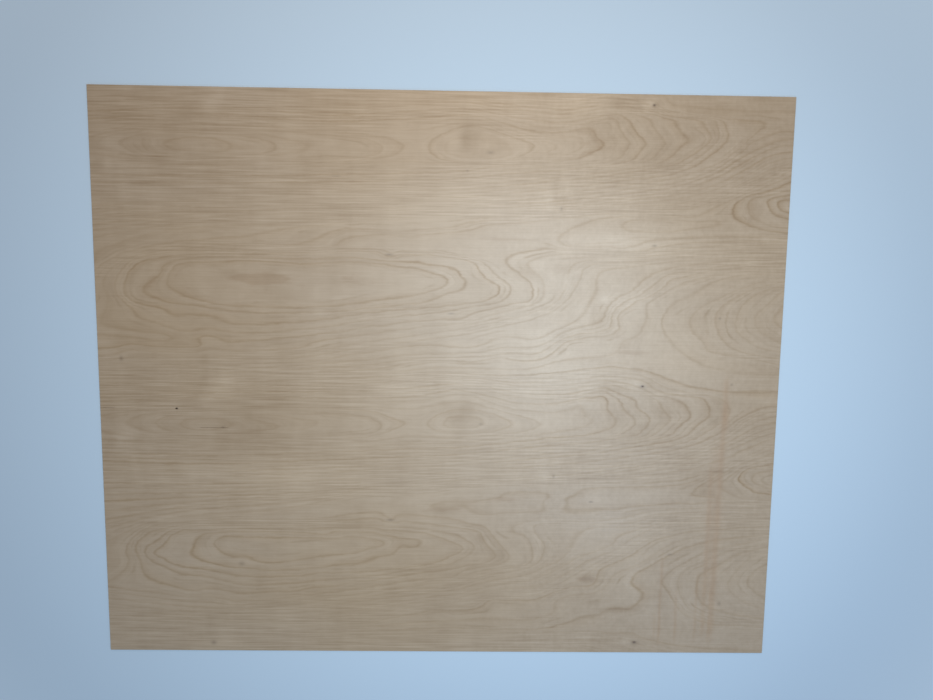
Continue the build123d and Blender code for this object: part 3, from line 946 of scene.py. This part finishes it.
def edge_part(points, faces, rim):
    """Adds the four edges below the rim, band by band, and gives the lowest ring of points."""
    generator = np.random.default_rng(edge_seed)
    bands = [(thickness - arris, 0.0), *groove(thickness - face_ply), *groove(face_ply),
             (arris, 0.0), (0.0, arris)]
    count = len(rim)
    upper = rim
    for height, inset in bands:
        ring = range(len(points), len(points) + count)
        plain = inset in (0.0, arris)
        uneven = np.zeros(count) if plain else generator.uniform(0.0, ply_unevenness, count)
        for corner, sink in zip(rim, inset + uneven):
            x, y, _ = points[corner]
            points.append((drawn_in(x, length, sink), drawn_in(y, width, sink), height))
        for number in range(count):
            after = (number + 1) % count
            faces.append((upper[after], upper[number], ring[number], ring[after]))
        upper = ring
    return upper


def back_part(points, faces, rim, across, down):
    """Adds the underside: a coarse grid, joined to every point of the rim round it by broad faces."""
    picked_x = list(range(0, across - back_every // 2, back_every)) + [across - 1]
    picked_y = list(range(0, down - back_every // 2, back_every)) + [down - 1]
    inner_x = [points[rim[column]][0] for column in picked_x]
    inner_y = [points[rim[across - 1 + row]][1] for row in picked_y]
    inner_x[0], inner_x[-1] = back_inset, length - back_inset
    inner_y[0], inner_y[-1] = back_inset, width - back_inset
    wide = len(inner_x)
    tall = len(inner_y)
    grid = np.arange(wide * tall).reshape(tall, wide) + len(points)
    points += [(x, y, 0.0) for y in inner_y for x in inner_x]
    for row in range(tall - 1):
        for column in range(wide - 1):
            faces.append((grid[row, column], grid[row + 1, column], grid[row + 1, column + 1],
                          grid[row, column + 1]))
    second = across - 1
    third = second + down - 1
    fourth = third + across - 1
    walks = [
        (picked_x, grid[0]),
        ([second + row for row in picked_y], grid[:, -1]),
        ([fourth - column for column in picked_x[::-1]], grid[-1, ::-1]),
        ([fourth + down - 1 - row for row in picked_y[::-1]], grid[::-1, 0]),
    ]
    for stops, inside in walks:
        for number in range(len(stops) - 1):
            run = [rim[place % len(rim)] for place in range(stops[number], stops[number + 1] + 1)]
            faces.append((*run[::-1], inside[number], inside[number + 1]))


# What a face of the mesh is part of, which is also the number of its material
FACE, BACK, EDGE = range(3)


def sheet_mesh():
    """One closed mesh of the whole sheet: its points, its faces and what each face is part of."""
    columns, rows = face_grid()
    across = len(columns)
    down = len(rows)
    points, faces = face_part(columns, rows)
    kinds = [FACE] * len(faces)
    rim = [*range(across),
           *(row * across + across - 1 for row in range(1, down)),
           *((down - 1) * across + column for column in range(across - 2, -1, -1)),
           *(row * across for row in range(down - 2, 0, -1))]
    foot = edge_part(points, faces, rim)
    kinds += [EDGE] * (len(faces) - len(kinds))
    back_part(points, faces, foot, across, down)
    kinds += [BACK] * (len(faces) - len(kinds))
    return np.array(points), faces, kinds


def lay_out(mesh, points):
    """The texture map: the face in most of the square, then the back, turned, and the edges as strips."""
    corner_counts = [polygon.loop_total for polygon in mesh.polygons]
    loops = np.array([loop.vertex_index for loop in mesh.loops])
    kind = np.repeat([polygon.material_index for polygon in mesh.polygons], corner_counts)
    normal = np.repeat([tuple(polygon.normal) for polygon in mesh.polygons], corner_counts, axis=0)
    x = points[loops, 0] / length
    y = 1 - points[loops, 1] / width
    z = points[loops, 2] / thickness
    sideways = abs(normal[:, 0]) > abs(normal[:, 1])
    negative = np.where(sideways, normal[:, 0] < 0, normal[:, 1] < 0)
    strip = strip_foot + (sideways * 2 + negative) * (strip_height + strip_gap)
    wide = 1 - 2 * map_margin
    u = map_margin + np.select([kind == FACE, kind == BACK], [x, y], np.where(sideways, y, x)) * wide
    v = np.select([kind == FACE, kind == BACK],
                  [face_foot + y * (1 - map_margin - face_foot),
                   back_foot + x * (face_foot - map_margin - back_foot)],
                  strip + z * strip_height)
    mesh.uv_layers.new(name="OFBake").data.foreach_set("uv", np.stack([u, v], 1).ravel())


def add_values(mesh, name, values):
    layer = mesh.attributes.new(name=name, type="FLOAT", domain="POINT")
    layer.data.foreach_set("value", np.ascontiguousarray(values, dtype=np.float32))


def make_sheet(materials):
    """The sheet's object, with the figure's values, and its painted sheen and shade, on its points."""
    points, faces, kinds = sheet_mesh()
    x, y, z = points.T
    placed = np.stack([(x + low[0]) * MM, (high[1] - y) * MM, (z + low[2]) * MM], 1)
    mesh = bpy.data.meshes.new("birch_sheet")
    mesh.from_pydata(placed.tolist(), [], [tuple(reversed(face)) for face in faces])
    for material in materials:
        mesh.materials.append(material)
    mesh.polygons.foreach_set("material_index", kinds)
    mesh.update()
    lay_out(mesh, points)
    grids = solve_rings(line_samples())
    columns, rows, _ = GRIDS[-1]
    cells = Cells(x, y, columns, rows)
    for name, grid in zip(("ring", "spacing", "tone"), grids):
        add_values(mesh, name, cells.read(grid))
    add_values(mesh, "brown", np.clip(soft_marks(x, y, PATCHES), 0, 1))
    add_values(mesh, "faint", np.clip(soft_marks(x, y, FAINT), 0, 1))
    # Patches of the wood's own tone, with painted sheen and painted shade among them
    add_values(mesh, "tone_sheen_and_shade", soft_marks(x, y, TONE_SHEEN_AND_SHADE_PATCHES))
    sheet = bpy.data.objects.new("birch_sheet", mesh)
    bpy.context.scene.collection.objects.link(sheet)
    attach(sheet, "root")
    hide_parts(NODE)


def is_socket(value):
    return isinstance(value, bpy.types.NodeSocket)


class Graph:
    """Short names for the shader nodes that the materials are made of."""

    def __init__(self, name):
        self.material = bpy.data.materials.new(name)
        self.material.use_nodes = True
        self.tree = self.material.node_tree
        self.tree.nodes.clear()
        self.shader = self.node("BsdfPrincipled")
        self.node("OutputMaterial", {"Surface": self.shader.outputs[0]})
        coordinates = self.node("TexCoord")
        self.point = coordinates.outputs["Object"]
        self.normal = coordinates.outputs["Normal"]

    def node(self, kind, inputs=(), **settings):
        """A new node with these settings. Its inputs are given in order, or by name or number."""
        node = self.tree.nodes.new("ShaderNode" + kind)
        for name, setting in settings.items():
            setattr(node, name, setting)
        self.fill(node, inputs)
        return node

    def fill(self, node, inputs):
        """Links or sets a node's inputs."""
        pairs = inputs.items() if isinstance(inputs, dict) else enumerate(inputs)
        for key, value in pairs:
            if is_socket(value):
                self.tree.links.new(value, node.inputs[key])
            else:
                node.inputs[key].default_value = value

    def math(self, operation, *values, clamp=False):
        return self.node("Math", values, operation=operation, use_clamp=clamp).outputs[0]

    def add(self, a, b):
        return self.math("ADD", a, b)

    def times(self, a, b):
        return self.math("MULTIPLY", a, b)

    def scaled(self, value, factor, start):
        """The value times a factor, plus a start."""
        return self.math("MULTIPLY_ADD", value, factor, start)

    def layered(self, total, layers):
        """The total with every layer added, each times its share."""
        for layer, share in layers:
            total = self.scaled(layer, share, total)
        return total

    def between(self, value, start, end, low_value=0.0, high_value=1.0):
        inputs = (value, start, end, low_value, high_value)
        return self.node("MapRange", inputs, interpolation_type="SMOOTHSTEP").outputs[0]

    def noise(self, name, vector=None):
        """The named noise layer, from -1 to 1 or so."""
        scale, detail, roughness, shift = NOISES[name]
        place = self.node("VectorMath", (vector or self.point, scale, shift), operation="MULTIPLY_ADD")
        inputs = {"Vector": place.outputs[0], "Scale": 1.0, "Detail": detail, "Roughness": roughness}
        return self.scaled(self.node("TexNoise", inputs).outputs["Fac"], 2.0, -1.0)

    def value(self, name):
        return self.node("Attribute", attribute_name=name).outputs["Fac"]

    def mixed(self, amount, a, b, blend_type="MIX"):
        a, b = (colour if is_socket(colour) else (*colour, 1.0) for colour in (a, b))
        return self.node("Mix", {0: amount, 6: a, 7: b}, data_type="RGBA", blend_type=blend_type).outputs[2]

    def tinted(self, colour, layer, share, tint):
        """The colour, turned towards the tint by a share of the layer."""
        return self.mixed(self.math("MULTIPLY", layer, share, clamp=True), colour, tint)

    def shaded(self, colour, light):
        """The colour made lighter or darker."""
        tint = self.node("CombineColor", [self.scaled(light, share, 1.0) for share in shade_shares])
        return self.mixed(1.0, colour, tint.outputs[0], "MULTIPLY")

    def parts(self, vector):
        return self.node("SeparateXYZ", (vector,)).outputs

    def bell(self, value):
        """exp(-value squared)."""
        return self.math("EXPONENT", self.times(self.times(value, value), -1.0))

    def surface(self, colour, roughness, relief, depth, strength):
        """Joins the looks to the shader and gives the material. The relief's depth is in metres."""
        bump = self.node("Bump", {"Strength": strength, "Distance": depth, "Height": relief})
        self.fill(self.shader, {"Base Color": colour, "Roughness": roughness, "Normal": bump.outputs[0]})
        return self.material


def sheet_places(graph):
    """x and y down the sheet in millimetres, as the figure's places are."""
    x, y, _ = graph.parts(graph.point)
    return graph.scaled(x, 1 / MM, -float(low[0])), graph.scaled(y, -1 / MM, float(high[1]))


def ring_lines(graph, ring, spacing, tone, offset, seed):
    """How dark the ring lines are at each point: their soft cores, and their halos."""
    shifted = graph.add(ring, offset)
    nearest = graph.math("ROUND", shifted)
    away = graph.times(graph.math("SUBTRACT", shifted, nearest), spacing)
    side = graph.between(ring, *fold_rings, -1.0, 1.0)
    inner = graph.between(graph.times(away, side), -side_blend, side_blend)
    grown = graph.scaled(spacing, core_growth, core_width)
    narrow = graph.math("MINIMUM", grown, graph.times(spacing, core_limit))
    broad = graph.times(graph.scaled(inner, halo_inner_share, halo_outer_share),
                        graph.math("MINIMUM", spacing, halo_spacing_limit))
    core = graph.bell(graph.math("DIVIDE", away, narrow))
    halo = graph.bell(graph.math("DIVIDE", away, graph.add(broad, halo_width)))
    random = graph.node("TexWhiteNoise", {"W": graph.add(nearest, seed)}, noise_dimensions="1D")
    strength = graph.scaled(random.outputs["Value"], ring_strength_spread, ring_strength)
    strength = graph.times(graph.times(strength, tone), graph.between(spacing, *lines_by_spacing))
    return graph.times(core, strength), graph.times(halo, strength)


def figure_lines(graph, ring, spacing):
    """The face's ring lines, with faint ones half-way between where rings lie well apart, and with gaps."""
    core, halo = ring_lines(graph, ring, spacing, graph.value("tone"), 0.0, face_line_seed)
    apart = graph.times(graph.between(spacing, *faint_lines_begin), graph.between(spacing, *faint_lines_end))
    patchy = graph.between(graph.noise("faint lines"), *faint_line_limits)
    faint_tone = graph.times(graph.times(apart, patchy), faint_line_tone)
    faint, _ = ring_lines(graph, ring, spacing, faint_tone, half_way, faint_line_seed)
    gaps = graph.math("MAXIMUM", graph.scaled(graph.noise("line gaps"), gap_depth, 1.0), least_line)
    shown = graph.times(gaps, graph.math("SUBTRACT", 1.0, graph.value("faint")))
    return graph.times(graph.add(core, faint), shown), graph.times(halo, shown)


def ring_streaks(graph, x, y, ring):
    """Light and dark streaks that follow the rings, from -1 to 1 or so."""
    humps_a_millimetre = 0.005
    humps_a_ring = 1.8
    place = graph.node("CombineXYZ", (graph.times(x, humps_a_millimetre), graph.times(y, humps_a_millimetre),
                                      graph.times(ring, humps_a_ring)))
    return graph.noise("ring streaks", place.outputs[0])


def spots(graph, x, y):
    """How dark the knots and dots are at each point."""
    total = 0.0
    for spot_x, spot_y, half_length, half_height, tone in SPOTS:
        across = graph.scaled(x, 1 / half_length, -spot_x / half_length)
        down = graph.scaled(y, 1 / half_height, -spot_y / half_height)
        distance = graph.scaled(across, across, graph.times(down, down))
        total = graph.scaled(graph.math("EXPONENT", graph.times(distance, -1.0)), tone, total)
    return total


def stains(graph, x, y):
    """How strong the reddish runs are at each point."""
    wander = graph.times(graph.noise("stain wander"), stain_wander)
    total = 0.0
    for top_x, foot_x, top, foot, half_width, tone in STAINS:
        slant = (foot_x - top_x) / (foot - top)
        middle = graph.scaled(y, slant, top_x - slant * top)
        away = graph.math("SUBTRACT", graph.add(x, wander), middle)
        line = graph.bell(graph.times(away, 1 / half_width))
        below_top = graph.between(y, top, top + stain_run_out)
        above_foot = graph.between(y, foot, foot - stain_run_out)
        total = graph.scaled(graph.times(line, graph.times(below_top, above_foot)), tone, total)
    return graph.times(total, graph.scaled(graph.noise("stain patches"), stain_patchiness, stain_evenness))


def fibre_tone(graph):
    """Fine light and dark fibres along the grain, coarser streaks, and pores as short dark dashes."""
    return graph.noise("fibres"), graph.noise("streaks"), graph.between(graph.noise("pores"), *pore_limits)


def face_material():
    """Sanded rotary-cut birch, with the figure's rings, knots and stains, and patches of painted sheen and
    painted shade.
    """
    graph = Graph("birch_face")
    x, y = sheet_places(graph)
    spacing = graph.value("spacing")
    tone_sheen_and_shade = graph.value("tone_sheen_and_shade")
    shifts = graph.layered(0.0, ((graph.noise("line wobble"), wobble_reach),
                                 (graph.noise("line ripple"), ripple_reach)))
    ring = graph.add(graph.value("ring"), graph.math("DIVIDE", shifts, spacing))
    core, halo = figure_lines(graph, ring, spacing)
    fibres, streaks, pores = fibre_tone(graph)
    marks = spots(graph, x, y)

    warmth = graph.math("MULTIPLY_ADD", graph.noise("warmth"), warmth_change, face_warmth, clamp=True)
    ragged = graph.scaled(graph.noise("ragged patches"), raggedness, graph.value("brown"))
    patch = graph.between(ragged, *patch_limits)
    colour = graph.mixed(warmth, pale_birch, warm_birch)
    for layer, share, tint in ((halo, 0.28, halo_brown), (core, 0.44, line_brown), (patch, 0.32, patch_brown),
                               (stains(graph, x, y), 0.95, stain_red)):
        colour = graph.tinted(colour, layer, share, tint)

    threads = graph.times(graph.noise("threads"), graph.between(spacing, *threads_by_spacing))
    flecks = graph.times(graph.noise("flecks"), graph.between(x, *flecks_begin))
    streak_share = graph.between(spacing, *streaks_by_spacing)
    # The tone patches lighten and darken the wood here, and some of that is painted sheen and painted shade
    light = graph.layered(0.0, (
        (fibres, 0.14), (threads, 0.27), (streaks, 0.035), (ring_streaks(graph, x, y, ring), streak_share),
        (graph.noise("curl"), 0.12), (graph.noise("mottle"), 0.08), (flecks, 0.12), (tone_sheen_and_shade, 0.10),
        (pores, -0.10)))
    colour = graph.tinted(graph.shaded(colour, light), marks, 0.55, knot_brown)

    rough = graph.layered(0.42, ((fibres, 0.04), (core, 0.08), (tone_sheen_and_shade, -0.03)))
    relief = graph.layered(0.5, ((fibres, 0.35), (streaks, 0.30), (pores, -0.6), (core, 0.35), (marks, -0.6)))
    graph.fill(graph.shader, {"Specular IOR Level": face_sheen})
    return graph.surface(colour, rough, relief, depth=0.00006, strength=0.8)


def back_material():
    """The plain back veneer: broad rotary figure, a little darker and less finely sanded than the face."""
    graph = Graph("birch_back")
    spacing = 14.0
    tone = 0.8
    rings_a_metre = 62.0
    slope = graph.parts(graph.point)[1]
    ring = graph.layered(graph.times(slope, rings_a_metre),
                         ((graph.noise("back hills"), 13.0), (graph.noise("back ripple"), 0.16)))
    core, halo = ring_lines(graph, ring, spacing, tone, 0.0, back_line_seed)
    fibres, streaks, pores = fibre_tone(graph)
    warmth = graph.math("MULTIPLY_ADD", graph.noise("back warmth"), warmth_change, back_warmth, clamp=True)
    colour = graph.mixed(warmth, pale_birch, warm_birch)
    colour = graph.tinted(graph.tinted(colour, halo, 0.3, halo_brown), core, 0.4, line_brown)
    light = graph.layered(-0.05, ((fibres, 0.16), (streaks, 0.14), (pores, -0.12)))
    relief = graph.layered(0.0, ((fibres, 0.4), (streaks, 0.4), (pores, -0.6)))
    rough = graph.scaled(fibres, 0.05, 0.58)
    return graph.surface(graph.shaded(colour, light), rough, relief, depth=0.00009, strength=0.9)


def edge_material():
    """Trimmed edges: long grain and end grain of the plies by turns, with dark glue lines between them."""
    graph = Graph("birch_edge")
    glue_height = thickness / 2 - face_ply
    glue_half_width = 0.07
    clearly_sideways = 0.6
    nearly_equal = 0.1
    height = graph.times(graph.parts(graph.point)[2], 1 / MM)
    facing_along = graph.math("ABSOLUTE", graph.parts(graph.normal)[0])
    short_edge = graph.math("GREATER_THAN", facing_along, clearly_sideways)
    off_middle = graph.math("ABSOLUTE", graph.math("SUBTRACT", height, thickness / 2))
    outer_ply = graph.math("GREATER_THAN", off_middle, glue_height)
    end_grain = graph.math("COMPARE", short_edge, outer_ply, nearly_equal)
    end_dots = graph.noise("end dots")
    long_fibres = graph.noise("long fibres")
    long_shade = graph.math("MULTIPLY_ADD", long_fibres, 0.7, 0.4, clamp=True)
    end_shade = graph.layered(0.4, ((graph.noise("end rings"), 0.45), (end_dots, 0.5)))
    long_colour = graph.mixed(long_shade, long_grain_pale, long_grain_dark)
    end_colour = graph.tinted(end_grain_pale, end_shade, 1.0, end_grain_dark)
    glue_away = graph.math("ABSOLUTE", graph.math("SUBTRACT", off_middle, glue_height))
    glue = graph.bell(graph.times(glue_away, 1 / glue_half_width))
    grime = graph.math("MULTIPLY_ADD", graph.noise("grime"), 0.16, 0.08, clamp=True)
    colour = graph.tinted(graph.mixed(end_grain, long_colour, end_colour), glue, 0.5, glue_brown)
    relief = graph.layered(long_fibres, ((end_dots, 0.4), (glue, -0.8)))
    rough = graph.scaled(end_dots, 0.08, 0.72)
    return graph.surface(graph.mixed(grime, colour, grime_brown), rough, relief, depth=0.00012, strength=0.9)


def floor_material():
    """Plain and pale. Far from the sheet it glows as the background does, to camera rays only."""
    graph = Graph("floor")
    rays = graph.node("LightPath")
    distance = graph.node("VectorMath", (graph.point,), operation="LENGTH")
    glow = graph.between(distance.outputs["Value"], fade_start, fade_end, 0.0, rays.outputs["Is Camera Ray"])
    graph.fill(graph.shader, {
        "Base Color": (*floor_shade, 1.0), "Roughness": 0.9, "Specular IOR Level": 0.1,
        "Emission Color": (*far_glow, 1.0), "Emission Strength": glow,
    })
    return graph.material


def floor():
    """A square just under the sheet, which fades into the background."""
    sides = ((-1, -1), (1, -1), (1, 1), (-1, 1))
    corners = [(x * floor_half, y * floor_half, floor_height) for x, y in sides]
    mesh = bpy.data.meshes.new("floor")
    mesh.from_pydata(corners, [], [(0, 1, 2, 3)])
    mesh.materials.append(floor_material())
    surface = bpy.data.objects.new("floor", mesh)
    bpy.context.scene.collection.objects.link(surface)


def camera():
    data = bpy.data.cameras.new("camera")
    data.lens = camera_lens
    data.sensor_width = sensor_width
    viewer = bpy.data.objects.new("camera", data)
    viewer.location = camera_place
    viewer.rotation_euler = [math.radians(turn) for turn in camera_turns]
    bpy.context.scene.collection.objects.link(viewer)
    bpy.context.scene.camera = viewer


def lamp(name, place, target, size, power, colour, spread):
    data = bpy.data.lights.new(name, "AREA")
    data.spread = math.radians(spread)
    data.shape = "SQUARE"
    data.size = size
    data.energy = power
    data.color = colour
    light = bpy.data.objects.new(name, data)
    light.location = place
    away = np.array(place) - np.array(target)
    flat = math.hypot(away[0], away[1])
    light.rotation_euler = (math.atan2(flat, away[2]), 0.0, math.atan2(away[0], -away[1]))
    bpy.context.scene.collection.objects.link(light)


def studio_world():
    """Soft light from all sides. The camera sees the floor's own shade there instead."""
    world = bpy.data.worlds.new("studio")
    bpy.context.scene.world = world
    world.use_nodes = True
    nodes = world.node_tree.nodes
    links = world.node_tree.links
    light = nodes["Background"]
    backdrop = nodes.new("ShaderNodeBackground")
    for background, colour, strength in ((light, world_light, world_strength), (backdrop, floor_shade, 1.0)):
        background.inputs["Color"].default_value = (*colour, 1.0)
        background.inputs["Strength"].default_value = strength
    rays = nodes.new("ShaderNodeLightPath")
    switch = nodes.new("ShaderNodeMixShader")
    for number, socket in enumerate((rays.outputs["Is Camera Ray"], light.outputs[0], backdrop.outputs[0])):
        links.new(socket, switch.inputs[number])
    links.new(switch.outputs[0], nodes["World Output"].inputs["Surface"])


camera()
floor()
for values in LAMPS:
    lamp(*values)
studio_world()
make_sheet([face_material(), back_material(), edge_material()])
bpy.context.scene.view_settings.view_transform = "Standard"
